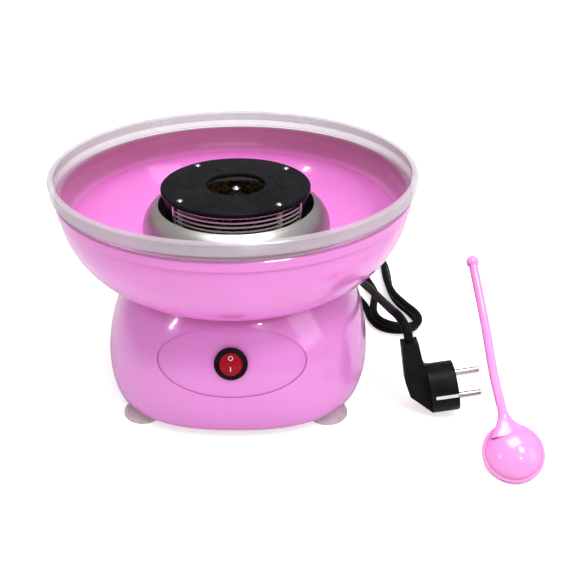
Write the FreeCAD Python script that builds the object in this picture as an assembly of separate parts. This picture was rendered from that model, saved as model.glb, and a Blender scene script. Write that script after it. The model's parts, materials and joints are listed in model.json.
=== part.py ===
"""Table-top cotton candy machine, one STEP file for each separate piece.

Millimetres, +Z up. Everything is modelled round the spinner's axis, with the floor at zero height;
the saved files have their origin on the floor, in the middle of the front left suction foot.
The switch faces -Y, the mains lead leaves on the +X side, and the sugar scoop stands at the right front.
"""

import os
import FreeCAD
import Part
from math import acos, asin, cos, degrees, pi, radians, sin, sqrt, tan
from FreeCAD import Placement, Rotation, Vector

# --- driving dimensions -------------------------------------------------------------------------
WALL = 2.6                # housing wall
SKIN = 0.05               # gap between parts that touch
BASE_BOTTOM = 8.0         # underside of the housing
BASE_TOP = 91.5           # rim of the housing, under the bowl
BASE_WIDEST = 27.0        # height at which the housing is widest
BASE_HALF = 102.0         # half width of the housing there
SHOULDER_RISE = 103.0     # vertical half axis of the housing's upper curve
SKIRT_DROP = 79.0         # vertical half axis of its lower curve
DECK_TOP = 88.4           # top of the deck that carries the heat shield
DECK_UNDER = 85.8
COVER_TOP = 10.6          # inside face of the bottom cover
FOOT_AT = 68.5            # suction feet, from both middle planes
FOOT_RADIUS = 15.8

BOWL_CENTRE = (60.0, 151.0)   # centre of the elliptical bowl wall: radius, height
BOWL_AXES = (66.0, 62.0)      # its half axes, outside
BOWL_WALL = 2.2
BOWL_RIM = 159.0
BOWL_HOLE = 71.6
GUARD_TOP = 172.0
GUARD_RADIUS = 130.0

SHIELD_RADIUS = 70.0
SHIELD_MOUTH = 57.5
SHIELD_TOP = 142.6
SHEET = 1.0

PLATE_RADIUS = 54.7
PLATE_TOP = 156.0
PLATE_THICK = 3.0
BAND_RADIUS = 52.5
WELL_RADIUS = 21.3
PAN_UNDER = 128.5
PAN_TOP = 130.5
RIVET_CIRCLE = 48.6
RIVET_TURN = -4.0         # degrees, from the diagonals
WINDOW_TURN = -84.5       # degrees, middle of the front window
WINDOW_HALF = 56.5        # degrees

SHAFT_RADIUS = 3.0
SHAFT_FOOT = 13.0
SHAFT_TIP = 146.0
MOTOR_RADIUS = 26.0
MOTOR_TOP = 76.0
CAN_FOOT = 31.0

SWITCH_HEIGHT = 63.5
SWITCH_LEAN = 18.0        # degrees the switch face leans back
RELIEF_DEPTH = 0.7        # depth of the oval step round the switch
BEZEL_RADIUS = 11.5
ROCKER_RADIUS = 8.2
ROCKER_THROW = 20.0       # degrees between off and on

CORD_RADIUS = 3.4
PIN_SPACING = 19.0
PIN_RADIUS = 2.4
PIN_LENGTH = 19.0
PIN_ROOT = 1.9            # thinner stem moulded into the plug
PLUG_FACE = Vector(164.3, -62.9, 22.4)
PLUG_TILT = 11.0          # degrees the pins point upwards
PLUG_ROLL = 12.0          # degrees the plug leans back about its pins

SCOOP_FOOT = Vector(194.5, -140.6, -2.1)
SCOOP_LEAN = 50.0         # degrees the handle leans back
SCOOP_ROLL = 14.0         # degrees the cup is turned about its handle
SCOOP_TIP = 8.0           # degrees the cup is bent back from its handle
SCOOP_RADIUS = 20.4
SCOOP_DEPTH = 12.5
SCOOP_LIP = 1.5           # width of the lip round the cup
SCOOP_LIP_HEIGHT = 3.2
SCOOP_WALL = 1.7
NECK_TURN = 9.0           # degrees the neck points to the side


# --- small helpers ------------------------------------------------------------------------------
def save(name, shape):
    """Modelled round the spinner's axis; saved with the origin under the front left foot."""
    placed = shape.translated(Vector(FOOT_AT, FOOT_AT, 0))
    placed.exportStep("parts/" + name + ".step")


def section(*points):
    """A flat face in the plane through the axis, from (radius, height) corners."""
    corners = [Vector(r, 0, z) for r, z in points]
    return Part.Face(Part.makePolygon(corners + corners[:1]))


def turned(face):
    """Turn a section once round the vertical axis."""
    return face.revolve(Vector(0, 0, 0), Vector(0, 0, 1), 360)


def lathe(*points):
    return turned(section(*points))


def tube(outer, inner, low, high):
    """A straight ring between two heights."""
    return lathe((inner, low), (outer, low), (outer, high), (inner, high))


def rod(radius, low, high, x=0.0, y=0.0):
    return Part.makeCylinder(radius, high - low, Vector(x, y, low))


def block(x0, x1, y0, y1, z0, z1):
    return Part.makeBox(x1 - x0, y1 - y0, z1 - z0, Vector(x0, y0, z0))


def line(a, b):
    return Part.LineSegment(Vector(*a), Vector(*b)).toShape()


def arc(a, middle, b):
    return Part.Arc(Vector(*a), Vector(*middle), Vector(*b)).toShape()


def round_the_axis(shape, count, first=0.0):
    """Copies of a shape, evenly spaced round the vertical axis."""
    copies = []
    for k in range(count):
        copy = shape.copy()
        copy.rotate(Vector(0, 0, 0), Vector(0, 0, 1), first + 360.0 * k / count)
        copies.append(copy)
    return copies


def group(shapes):
    return Part.makeCompound(shapes)


def joined(shapes):
    whole = shapes[0]
    for shape in shapes[1:]:
        whole = whole.fuse(shape)
    return whole.removeSplitter()


def polar(radius, angle):
    return radius * cos(radians(angle)), radius * sin(radians(angle))


def sector(inner, outer, low, high, first, last):
    """Part of a ring between two angles in degrees."""
    ring = section((inner, low), (outer, low), (outer, high), (inner, high))
    ring.rotate(Vector(0, 0, 0), Vector(0, 0, 1), first)
    return ring.revolve(Vector(0, 0, 0), Vector(0, 0, 1), last - first)


def corners(distance):
    return [(sx * distance, sy * distance) for sx in (-1, 1) for sy in (-1, 1)]


# --- base ---------------------------------------------------------------------------------------
def half_width(height):
    """Half the width of the housing at a height: two ellipse quarters, one above the other."""
    if height > BASE_WIDEST:
        share = (height - BASE_WIDEST) / SHOULDER_RISE
    else:
        share = (BASE_WIDEST - height) / SKIRT_DROP
    return BASE_HALF * sqrt(1.0 - share * share)


def squareness(height):
    """Power of the plan's rounded square: 2 is a circle, larger is squarer."""
    return 2.55 - 0.35 * (height - BASE_BOTTOM) / (BASE_TOP - BASE_BOTTOM)


def plan(height, inset):
    """The rounded-square outline of the housing at one height."""
    half = half_width(height) - inset
    power = 2.0 / squareness(height)
    points = []
    steps = 48
    for k in range(steps):
        angle = 2 * pi * k / steps
        c, s = cos(angle), sin(angle)
        x = half * abs(c) ** power * (1 if c >= 0 else -1)
        y = half * abs(s) ** power * (1 if s >= 0 else -1)
        points.append(Vector(x, y, height))
    curve = Part.BSplineCurve()
    curve.interpolate(Points=points, PeriodicFlag=True)
    return Part.Wire(curve.toShape())


def housing_form(low, high, inset):
    """The housing's outer form, moved in by the inset."""
    count = 7
    heights = [low + (high - low) * k / (count - 1) for k in range(count)]
    return Part.makeLoft([plan(z, inset) for z in heights], True, False)


def bowl_wall(grow, first_radius):
    """The elliptical bowl wall as an edge, from a radius near the middle up to the rim."""
    r, z = BOWL_CENTRE
    a, b = BOWL_AXES[0] + grow, BOWL_AXES[1] + grow
    full = Part.Ellipse(Vector(r + a, 0, z), Vector(r, 0, z - b), Vector(r, 0, z))
    return Part.ArcOfEllipse(full, 0.0, acos((first_radius - r) / a)).toShape()


def end_points(edge):
    """The low and high ends of an edge."""
    ends = [v.Point for v in edge.Vertexes]
    return sorted(ends, key=lambda p: p.z)


def bowl_bed():
    """Everything above the seat the bowl rests in."""
    wall = bowl_wall(SKIN, 77.0)
    low, high = end_points(wall)
    top = BASE_TOP + 70.0
    edges = [
        line((0, 0, DECK_TOP), (77.0, 0, DECK_TOP)),
        Part.LineSegment(Vector(77.0, 0, DECK_TOP), low).toShape(),
        wall,
        Part.LineSegment(high, Vector(high.x, 0, top)).toShape(),
        line((high.x, 0, top), (0, 0, top)),
        line((0, 0, top), (0, 0, DECK_TOP)),
    ]
    return turned(Part.Face(Part.Wire(Part.__sortEdges__(edges))))


def switch_place():
    """Where the switch sits: local Z points out of the housing, local Y up its face."""
    out = half_width(SWITCH_HEIGHT) - 0.9
    return Placement(Vector(0, -out, SWITCH_HEIGHT), Rotation(Vector(1, 0, 0), 90.0 - SWITCH_LEAN))


def at_switch(shape):
    placed = shape.copy()
    placed.Placement = switch_place().multiply(shape.Placement)
    return placed


def front_relief():
    """What the shallow oval step round the switch takes off the housing."""
    oval = Part.Ellipse(Vector(0, 0, 0), 52.0, 25.0)
    prism = Part.Face(Part.Wire(oval.toShape())).extrude(Vector(0, 0, 40))
    prism.translate(Vector(0, 0, -22))
    return at_switch(prism).cut(housing_form(BASE_BOTTOM, BASE_TOP, RELIEF_DEPTH))


def cord_exit():
    """Where the mains lead leaves the housing: point on the wall and outward angle in degrees."""
    angle = 42.0
    height = 24.0
    power = squareness(height)
    c, s = cos(radians(angle)), sin(radians(angle))
    reach = half_width(height) / (c ** power + s ** power) ** (1.0 / power)
    return Vector(reach * c, reach * s, height), angle


def at_cord_exit(shape):
    """Turn a shape built along +X, with its origin on the wall, to the lead's exit."""
    point, angle = cord_exit()
    placed = shape.copy()
    placed.Placement = Placement(point, Rotation(Vector(0, 0, 1), angle))
    return placed


def along_x(radius, start, end, inner=0.0):
    """A round bar or tube along X."""
    bar = Part.makeCylinder(radius, end - start, Vector(start, 0, 0), Vector(1, 0, 0))
    if inner:
        bar = bar.cut(Part.makeCylinder(inner, end - start, Vector(start, 0, 0), Vector(1, 0, 0)))
    return bar


COVER_SCREW_AT = 52.0
BOSS_AT = 41.0
FOUR_SIDES = (0, 90, 180, 270)
SHIELD_SCREW_CIRCLE = 73.3
TRAY_SCREW_CIRCLE = 58.0


def base_housing():
    shell = housing_form(BASE_BOTTOM, BASE_TOP, 0.0)
    shell = shell.cut(housing_form(BASE_BOTTOM - 1.0, DECK_UNDER, WALL))
    shell = shell.cut(bowl_bed())
    shell = shell.cut(rod(52.0, DECK_UNDER - 1, DECK_TOP + 1))
    shell = shell.cut(front_relief())
    for x, y in corners(COVER_SCREW_AT):
        post = rod(4.6, COVER_TOP + SKIN, DECK_UNDER + 0.5, x, y)
        shell = shell.fuse(post).cut(rod(1.55, COVER_TOP, 26.0, x, y))
    for x, y in corners(BOSS_AT):
        boss = rod(4.6, 81.0, DECK_UNDER + 0.5, x, y)
        shell = shell.fuse(boss).cut(rod(1.85, 80.0, 86.5, x, y))
    for angle in FOUR_SIDES:
        for circle in (SHIELD_SCREW_CIRCLE, TRAY_SCREW_CIRCLE):
            x, y = polar(circle, angle)
            shell = shell.cut(rod(1.35, DECK_UNDER - 1, DECK_TOP + 1, x, y))
    shell = shell.cut(at_switch(rod(BEZEL_RADIUS + 0.3, 0.0, 8.0)))
    shell = shell.cut(at_switch(rod(10.1, -8.0, 4.0)))
    shell = shell.cut(at_cord_exit(along_x(5.6, -12.0, 8.0)))
    return shell.removeSplitter()


def bottom_cover():
    cover = housing_form(BASE_BOTTOM, COVER_TOP, WALL + 0.2)
    for x, y in corners(FOOT_AT):
        cover = cover.cut(rod(4.1, BASE_BOTTOM - 1, COVER_TOP + 1, x, y))
    for x, y in corners(COVER_SCREW_AT):
        cover = cover.cut(rod(1.7, BASE_BOTTOM - 1, COVER_TOP + 1, x, y))
        cover = cover.cut(rod(3.5, BASE_BOTTOM - 1, BASE_BOTTOM + 1.4, x, y))
    for k in range(7):
        x = 8.0 * (k - 3)
        cover = cover.cut(block(x - 1.8, x + 1.8, -28.0, 28.0, BASE_BOTTOM - 1, COVER_TOP + 1))
    for x, y in board_posts():
        cover = cover.fuse(rod(2.6, COVER_TOP - 0.2, BOARD_LOW - SKIN, x, y))
    return cover.removeSplitter()


def cover_screws():
    screw = rod(3.2, BASE_BOTTOM + 0.2, BASE_BOTTOM + 1.35).fuse(rod(1.5, BASE_BOTTOM + 1.35, 24.0))
    slot = block(-0.4, 0.4, -2.4, 2.4, BASE_BOTTOM, BASE_BOTTOM + 0.7)
    screw = screw.cut(slot)
    return group([screw.translated(Vector(x, y, 0)) for x, y in corners(COVER_SCREW_AT)])


def suction_feet():
    """Soft cups with a stalk buttoned through the bottom cover."""
    rim = FOOT_RADIUS
    edges = [
        line((rim - 2.5, 0, 0), (rim, 0, 0)),
        line((rim, 0, 0), (rim, 0, 1.0)),
        arc((rim, 0, 1.0), (0.62 * rim, 0, 3.2), (5.6, 0, BASE_BOTTOM - 0.1)),
        line((5.6, 0, BASE_BOTTOM - 0.1), (3.9, 0, BASE_BOTTOM - 0.1)),
        line((3.9, 0, BASE_BOTTOM - 0.1), (3.9, 0, COVER_TOP + 0.1)),
        line((3.9, 0, COVER_TOP + 0.1), (5.3, 0, COVER_TOP + 0.1)),
        line((5.3, 0, COVER_TOP + 0.1), (3.4, 0, COVER_TOP + 2.6)),
        line((3.4, 0, COVER_TOP + 2.6), (0, 0, COVER_TOP + 2.6)),
        line((0, 0, COVER_TOP + 2.6), (0, 0, 3.4)),
        arc((0, 0, 3.4), (0.55 * rim, 0, 1.7), (rim - 2.5, 0, 0)),
    ]
    foot = turned(Part.Face(Part.Wire(edges)))
    return group([foot.translated(Vector(x, y, 0)) for x, y in corners(FOOT_AT)])


def strain_relief():
    """Grooved grommet that grips the lead where it passes the wall."""
    body = along_x(5.5, -10.0, 6.0, CORD_RADIUS + SKIN)
    flange = along_x(7.6, 0.9, 2.7, 5.4)
    nut = along_x(7.6, -6.6, -4.2, 5.4)
    return at_cord_exit(joined([body, flange, nut]))


# --- switch -------------------------------------------------------------------------------------
ROCKER_PIVOT = 0.6        # height of the rocker's axis above the seat


def switch_body():
    """Round snap-in switch case with its bezel."""
    bezel = tube(BEZEL_RADIUS, ROCKER_RADIUS + 0.1, 0.02, 2.0)
    bezel = bezel.makeFillet(0.9, [edge_at(bezel, BEZEL_RADIUS, 2.0)])
    barrel = tube(10.0, ROCKER_RADIUS + 0.1, -9.0, 0.02)
    case = block(-6.5, 6.5, -8.0, 8.0, -17.0, -9.0).fuse(rod(10.0, -10.4, -9.0))
    case = case.cut(block(-5.0, 5.0, -6.8, 6.8, -15.6, -9.4)).cut(rod(6.5, -9.6, -8.9))
    return at_switch(joined([bezel, barrel, case]))


def edge_at(shape, radius, height):
    """The circular edge of a turned shape with this radius and height."""
    for edge in shape.Edges:
        curve = edge.Curve
        if isinstance(curve, Part.Circle) and abs(curve.Radius - radius) < 0.01:
            if abs(curve.Center.z - height) < 0.01:
                return edge
    raise ValueError("no such edge")


def switch_rocker():
    """Two-faced key; its sides are spherical so it clears the bezel at both ends of its throw."""
    half = radians(ROCKER_THROW / 2)
    ball = Part.makeSphere(ROCKER_RADIUS)
    top = 3.9
    low = -3.6
    drop = 12.0 * sin(half)
    ridge = Part.Face(Part.makePolygon([
        Vector(-10, -12, low), Vector(-10, 12, low), Vector(-10, 12, top - drop),
        Vector(-10, 0, top), Vector(-10, -12, top - drop), Vector(-10, -12, low)]))
    key = ball.common(ridge.extrude(Vector(20, 0, 0)))
    tail = block(-1.6, 1.6, -1.4, 1.4, -6.8, low)
    key = key.fuse(tail).removeSplitter()
    key.rotate(Vector(0, 0, 0), Vector(1, 0, 0), -ROCKER_THROW / 2)
    key.translate(Vector(0, 0, ROCKER_PIVOT))
    return at_switch(key)


def switch_terminals():
    blades = [block(-3.1, 3.1, y - 0.4, y + 0.4, -25.0, -17.0 - SKIN) for y in (-6.0, 0.0, 6.0)]
    return group([at_switch(blade) for blade in blades])


# --- motor --------------------------------------------------------------------------------------
def motor_can():
    can = tube(MOTOR_RADIUS, MOTOR_RADIUS - 1.5, CAN_FOOT, MOTOR_TOP)
    lid = tube(MOTOR_RADIUS, 7.1, MOTOR_TOP - 2.0, MOTOR_TOP)
    can = can.fuse(lid)
    for x, y in motor_screw_places():
        can = can.cut(rod(1.55, MOTOR_TOP - 3, MOTOR_TOP + 1, x, y))
    for cutter in round_the_axis(block(MOTOR_RADIUS - 4, MOTOR_RADIUS + 2, -4, 4, 35, 40), 4, 45):
        can = can.cut(cutter)
    return can.removeSplitter()


def motor_screw_places():
    return [polar(14.0, angle) for angle in (90, 270)]


def motor_end_cap():
    cap = tube(MOTOR_RADIUS, 6.6, CAN_FOOT - 4.0, CAN_FOOT - SKIN)
    collar = tube(9.0, 6.6, CAN_FOOT - 6.0, CAN_FOOT)
    cap = cap.fuse(collar)
    for side in (-1, 1):
        x0, x1 = sorted((side * 12.0, side * 22.0))
        holder = block(x0, x1, -4.0, 4.0, CAN_FOOT - 1.0, CAN_FOOT + 6.0)
        holder = holder.cut(block(x0 - 1, x1 + 1, -2.6, 2.6, CAN_FOOT + 0.5, CAN_FOOT + 4.5))
        cap = cap.fuse(holder)
    return cap.removeSplitter()


def motor_bearings():
    low = tube(6.5, SHAFT_RADIUS + 0.04, CAN_FOOT - 6.0, CAN_FOOT - 0.5)
    high = tube(7.0, SHAFT_RADIUS + 0.04, MOTOR_TOP - 5.0, MOTOR_TOP + 1.4)
    return group([low, high])


def motor_magnets():
    return group([sector(20.6, MOTOR_RADIUS - 1.55, 42.0, 69.0, a - 60, a + 60) for a in (90, 270)])


def motor_brushes():
    brush = block(7.6, 18.0, -2.4, 2.4, CAN_FOOT + 0.7, CAN_FOOT + 4.3)
    return group(round_the_axis(brush, 2))


def motor_rotor():
    """Laminated core with twelve slots on its insulated hub."""
    core = tube(20.0, SHAFT_RADIUS + 0.01, 44.0, 66.0)
    slot = block(11.5, 21.0, -1.4, 1.4, 43.0, 67.0)
    for cutter in round_the_axis(slot, 12, 15):
        core = core.cut(cutter)
    return core


def rotor_windings():
    """Copper wound over both ends of the core."""
    rings = [tube(17.0, 6.0, 66.1, 70.0), tube(17.0, 6.0, 39.6, 43.9)]
    bars = round_the_axis(block(12.0, 18.4, -1.2, 1.2, 43.9, 66.1), 12, 15)
    return joined(rings + bars)


def motor_commutator():
    drum = tube(7.5, SHAFT_RADIUS + 0.01, CAN_FOOT + 0.4, CAN_FOOT + 7.0)
    for cutter in round_the_axis(block(6.4, 8.0, -0.25, 0.25, 30.0, 39.0), 12, 15):
        drum = drum.cut(cutter)
    return drum


def motor_shaft():
    shaft = rod(SHAFT_RADIUS, SHAFT_FOOT, SHAFT_TIP)
    shaft = shaft.makeChamfer(0.5, [edge_at(shaft, SHAFT_RADIUS, SHAFT_TIP)])
    return shaft.cut(cross_pin(1.02, 8.0))


def cross_pin(radius, length):
    """A pin across the shaft just under the spinner."""
    pin = Part.makeCylinder(radius, length, Vector(-length / 2, 0, 0), Vector(1, 0, 0))
    pin.translate(Vector(0, 0, DRIVE_PIN_HEIGHT))
    return pin


DRIVE_PIN_HEIGHT = 126.2


def drive_pin():
    return cross_pin(1.0, 11.0)


def cooling_fan():
    hub = tube(6.5, SHAFT_RADIUS + 0.01, 14.0, 23.0)
    back = tube(29.0, 6.4, 21.6, 23.0)
    blade = block(6.0, 29.0, -0.7, 0.7, 14.5, 21.8)
    return joined([hub, back] + round_the_axis(blade, 9))


def motor_bracket():
    """Four-armed steel plate that hangs the motor from the deck."""
    plate = tube(30.0, 7.2, MOTOR_TOP + SKIN, MOTOR_TOP + 2.0)
    arm = block(24.0, 58.0, -7.0, 7.0, MOTOR_TOP + SKIN, MOTOR_TOP + 2.0)
    pad = rod(7.0, MOTOR_TOP + SKIN, MOTOR_TOP + 2.0, BOSS_AT * sqrt(2))
    plate = joined([plate] + round_the_axis(arm.fuse(pad), 4, 45))
    for x, y in corners(BOSS_AT):
        plate = plate.cut(rod(2.2, MOTOR_TOP - 1, MOTOR_TOP + 3, x, y))
    for x, y in motor_screw_places():
        plate = plate.cut(rod(1.7, MOTOR_TOP - 1, MOTOR_TOP + 3, x, y))
    return plate


def bracket_isolators():
    ring = tube(6.0, 2.2, MOTOR_TOP + 2.0 + SKIN, 81.0 - SKIN)
    return group([ring.translated(Vector(x, y, 0)) for x, y in corners(BOSS_AT)])


def bracket_screws():
    screw = rod(3.6, MOTOR_TOP - 2.2, MOTOR_TOP).fuse(rod(1.8, MOTOR_TOP, 86.0))
    screw = screw.cut(block(-0.5, 0.5, -2.6, 2.6, MOTOR_TOP - 3, MOTOR_TOP - 1.2))
    return group([screw.translated(Vector(x, y, 0)) for x, y in corners(BOSS_AT)])


def motor_screws():
    low = MOTOR_TOP + 2.0 + SKIN
    screw = rod(2.8, low, low + 2.0).fuse(rod(1.5, MOTOR_TOP - 1.8, low))
    screw = screw.cut(block(-0.4, 0.4, -2.1, 2.1, low + 1.2, low + 3))
    return group([screw.translated(Vector(x, y, 0)) for x, y in motor_screw_places()])


# --- mains parts inside the base ----------------------------------------------------------------
BOARD_LOW = 17.0
BOARD = (-50.5, 2.0, 30.0, 37.0)   # middle x and y, length along Y, width along X
BLOCK = (52.0, 20.0)


def board_posts():
    x, y, length, width = BOARD
    return [(x + sx * (width / 2 - 4), y + sy * (length / 2 - 4)) for sx in (-1, 1) for sy in (-1, 1)]


def control_board():
    x, y, length, width = BOARD
    return block(x - width / 2, x + width / 2, y - length / 2, y + length / 2, BOARD_LOW, BOARD_LOW + 1.6)


def rectifier_diodes():
    x, y, _, _ = BOARD
    low = BOARD_LOW + 1.6 + SKIN
    diodes = []
    for k in range(4):
        bar = Part.makeCylinder(2.0, 8.0, Vector(x - 13, y - 9.0 + 6.0 * k, low + 2.0), Vector(1, 0, 0))
        diodes.append(bar)
    return group(diodes)


def noise_capacitor():
    x, y, _, _ = BOARD
    low = BOARD_LOW + 1.6 + SKIN
    box = block(x + 2, x + 9, y - 9, y + 9, low, low + 14)
    return box.makeFillet(1.0, box.Edges)


def terminal_block():
    x, y = BLOCK
    body = block(x - 8, x + 8, y - 15, y + 15, COVER_TOP + SKIN, COVER_TOP + 11)
    for k in range(3):
        hole_y = y + 10.0 * (k - 1)
        body = body.cut(rod(2.2, COVER_TOP + 4, COVER_TOP + 12, x - 3.5, hole_y))
        body = body.cut(rod(2.2, COVER_TOP + 4, COVER_TOP + 12, x + 3.5, hole_y))
    return body


def terminal_screws():
    x, y = BLOCK
    screws = []
    for k in range(3):
        for side in (-3.5, 3.5):
            screw = rod(2.1, COVER_TOP + 4.1, COVER_TOP + 8.5, x + side, y + 10.0 * (k - 1))
            screws.append(screw)
    return group(screws)


def thermal_fuse():
    body = Part.makeCylinder(2.0, 13.0, Vector(-6.5, 36.0, DECK_UNDER), Vector(1, 0, 0))
    leads = Part.makeCylinder(0.5, 30.0, Vector(-15, 36.0, DECK_UNDER), Vector(1, 0, 0))
    return body.fuse(leads).removeSplitter()


def swept(points, radius):
    """A round wire along straight runs joined by arcs, closed with two end discs."""
    path = [Vector(*p) for p in points]
    here = path[0]
    along = (path[1] - path[0]).normalize()
    ring = Part.Circle(here, along, radius).toShape()
    faces = [Part.Face(Part.Wire(ring))]
    for k in range(1, len(path) - 1):
        onward = (path[k + 1] - path[k]).normalize()
        turn = along.getAngle(onward)
        if turn < 0.001:
            continue
        room = 0.49 * min((path[k] - path[k - 1]).Length, (path[k + 1] - path[k]).Length)
        run = path[k] - along * room - here
        faces.append(ring.extrude(run))
        ring = ring.translated(run)
        here = here + run
        axis = along.cross(onward).normalize()
        centre = here + axis.cross(along).normalize() * (room / tan(turn / 2))
        faces.append(ring.revolve(centre, axis, degrees(turn)))
        ring.rotate(centre, axis, degrees(turn))
        here = path[k] + onward * room
        along = onward
    faces.append(ring.extrude(path[-1] - here))
    ring = ring.translated(path[-1] - here)
    faces.append(Part.Face(Part.Wire(ring)))
    return Part.makeSolid(Part.makeShell(faces))


def inner_wires():
    """Loose wiring: block to switch, block to board, board to motor, block to heater."""
    bx, by = BLOCK
    top = COVER_TOP + 5.0
    return group([
        swept([(bx - 9.6, by - 10, top), (36, -20, 14.5), (20, -50, 20), (6, -68, 40), (2.0, -69.5, 53.5)], 1.1),
        swept([(bx - 9.0, by, top), (34, 34, 14.5), (0, 44, 14.0), (-30, 34, 14.5), (-38, 26, 21), (-44, 18.5, 20)], 1.1),
        swept([(-50, 18.5, 22), (-48, 30, 30), (-36, 34, 44), (-30, 20, 46)], 1.1),
        swept([(bx + 9.0, by + 4, top), (70, 34, 24), (66, 34, 60), (52, 22, 76), (43.0, 6.5, 79.0)], 1.1),
    ])


# --- heater and its shield ----------------------------------------------------------------------
HEATER_CIRCLE = 42.0
HEATER_RADIUS = 3.2
HEATER_HEIGHT = 119.0
HEATER_FOOT = 82.0
HEATER_GAP = 9.0          # degrees either side of +X left open between the legs


def heater_legs():
    return [polar(HEATER_CIRCLE, angle) for angle in (-HEATER_GAP, HEATER_GAP)]


def heater_tray():
    """Thin steel tray on the deck that keeps the heat off the motor."""
    tray = lathe((9.0, DECK_TOP + 5), (10.0, DECK_TOP + 5), (10.0, DECK_TOP + SHEET), (66.0, DECK_TOP + SHEET),
                 (66.0, DECK_TOP + SKIN), (9.0, DECK_TOP + SKIN))
    for x, y in heater_legs():
        tray = tray.cut(rod(5.1, DECK_TOP - 1, DECK_TOP + 2, x, y))
    for angle in FOUR_SIDES:
        x, y = polar(TRAY_SCREW_CIRCLE, angle)
        tray = tray.cut(rod(1.6, DECK_TOP - 1, DECK_TOP + 2, x, y))
    for x, y in support_places():
        tray = tray.cut(rod(1.6, DECK_TOP - 1, DECK_TOP + 2, x, y))
    return tray


def pan_screw(head_low):
    """Small screw, head down to its seat, shank below."""
    screw = rod(2.6, head_low, head_low + 1.5).fuse(rod(1.3, head_low - 3.6, head_low))
    return screw.cut(block(-0.35, 0.35, -1.9, 1.9, head_low + 0.8, head_low + 2))


def tray_screws():
    screw = pan_screw(DECK_TOP + SHEET + 0.02)
    return group([screw.translated(Vector(*polar(TRAY_SCREW_CIRCLE, a), 0)) for a in FOUR_SIDES])


def heater_ring():
    """Tubular heating element, nearly a full ring, with two legs down through the tray."""
    ring = Part.makeTorus(HEATER_CIRCLE, HEATER_RADIUS, Vector(0, 0, 0), Vector(0, 0, 1), 0, 360, 360 - 2 * HEATER_GAP)
    ring.rotate(Vector(0, 0, 0), Vector(0, 0, 1), HEATER_GAP)
    ring.translate(Vector(0, 0, HEATER_HEIGHT))
    pieces = [ring]
    for x, y in heater_legs():
        pieces.append(Part.makeSphere(HEATER_RADIUS, Vector(x, y, HEATER_HEIGHT)))
        pieces.append(rod(HEATER_RADIUS, HEATER_FOOT + 4.0, HEATER_HEIGHT, x, y))
        pieces.append(rod(1.2, HEATER_FOOT, HEATER_FOOT + 4.5, x, y))
    return joined(pieces)


def heater_bushings():
    """Ceramic bushings where the legs pass the tray."""
    bush = tube(5.0, HEATER_RADIUS + 0.05, DECK_TOP - 1.4, DECK_TOP + 3.0)
    bush = bush.fuse(tube(6.6, 4.9, DECK_TOP + SHEET + 0.02, DECK_TOP + 3.0)).removeSplitter()
    return group([bush.translated(Vector(x, y, 0)) for x, y in heater_legs()])


def support_places():
    return [polar(HEATER_CIRCLE, angle) for angle in (70, 180, 290)]


def heater_supports():
    """Ceramic posts with a saddle under the heating element."""
    top = HEATER_HEIGHT - 0.6
    groove = Part.makeTorus(HEATER_CIRCLE, HEATER_RADIUS + SKIN, Vector(0, 0, HEATER_HEIGHT))
    posts = []
    for x, y in support_places():
        post = rod(4.8, DECK_TOP + SHEET + 0.02, top, x, y).cut(rod(1.6, DECK_TOP, DECK_TOP + 8, x, y))
        posts.append(post.cut(groove))
    return group(posts)


def support_screws():
    screws = []
    for x, y in support_places():
        screw = rod(3.0, DECK_TOP - 1.6, DECK_TOP - 0.02, x, y).fuse(rod(1.5, DECK_TOP - 0.02, DECK_TOP + 7, x, y))
        screws.append(screw)
    return group(screws)


def heat_shield():
    """Spun aluminium dome: flange, straight wall, rounded shoulder, turned-down mouth."""
    bend = 124.0
    rise = SHIELD_TOP - bend
    inset = SHIELD_RADIUS - SHIELD_MOUTH
    radius = (inset * inset + rise * rise) / (2 * inset)
    middle_r = SHIELD_RADIUS - radius
    tilt = asin(rise / radius)
    low = DECK_TOP + SKIN

    def shoulder(r, start, end):
        at = [(middle_r + r * cos(t), 0, bend + r * sin(t)) for t in (start, (start + end) / 2, end)]
        return arc(*at), at[0], at[2]

    outer, out_low, out_high = shoulder(radius, 0.0, tilt)
    inner, in_low, in_high = shoulder(radius - SHEET, 0.0, tilt * 0.93)
    mouth = SHIELD_MOUTH
    edges = [
        line((SHIELD_RADIUS, 0, low + SHEET), out_low), outer,
        line(out_high, (mouth, 0, SHIELD_TOP - 4.0)),
        line((mouth, 0, SHIELD_TOP - 4.0), (mouth + SHEET, 0, SHIELD_TOP - 4.0)),
        line((mouth + SHEET, 0, SHIELD_TOP - 4.0), in_high), inner,
        line(in_low, (SHIELD_RADIUS - SHEET, 0, low)),
        line((SHIELD_RADIUS - SHEET, 0, low), (76.3, 0, low)),
        line((76.3, 0, low), (76.3, 0, low + SHEET)),
        line((76.3, 0, low + SHEET), (SHIELD_RADIUS, 0, low + SHEET)),
    ]
    dome = turned(Part.Face(Part.Wire(Part.__sortEdges__(edges))))
    for angle in FOUR_SIDES:
        x, y = polar(SHIELD_SCREW_CIRCLE, angle)
        dome = dome.cut(rod(1.6, DECK_TOP - 1, DECK_TOP + 3, x, y))
    return dome


def shield_screws():
    """Countersunk into the shield's flange so the bowl passes over them."""
    low = DECK_TOP + SKIN + SHEET + 0.02
    screw = rod(2.3, low, low + 0.35).fuse(rod(1.3, low - 3.6, low))
    return group([screw.translated(Vector(*polar(SHIELD_SCREW_CIRCLE, a), 0)) for a in FOUR_SIDES])


# --- spinner ------------------------------------------------------------------------------------
def rivet_places():
    return [polar(RIVET_CIRCLE, 45 + 90 * k + RIVET_TURN) for k in range(4)]


def drilled(shape, radius):
    for x, y in rivet_places():
        shape = shape.cut(rod(radius, PAN_UNDER - 1, PLATE_TOP + 1, x, y))
    return shape


def spinner_pan():
    pan = tube(BAND_RADIUS + 0.6, 7.1, PAN_UNDER, PAN_TOP)
    return drilled(pan, 1.65)


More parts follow.
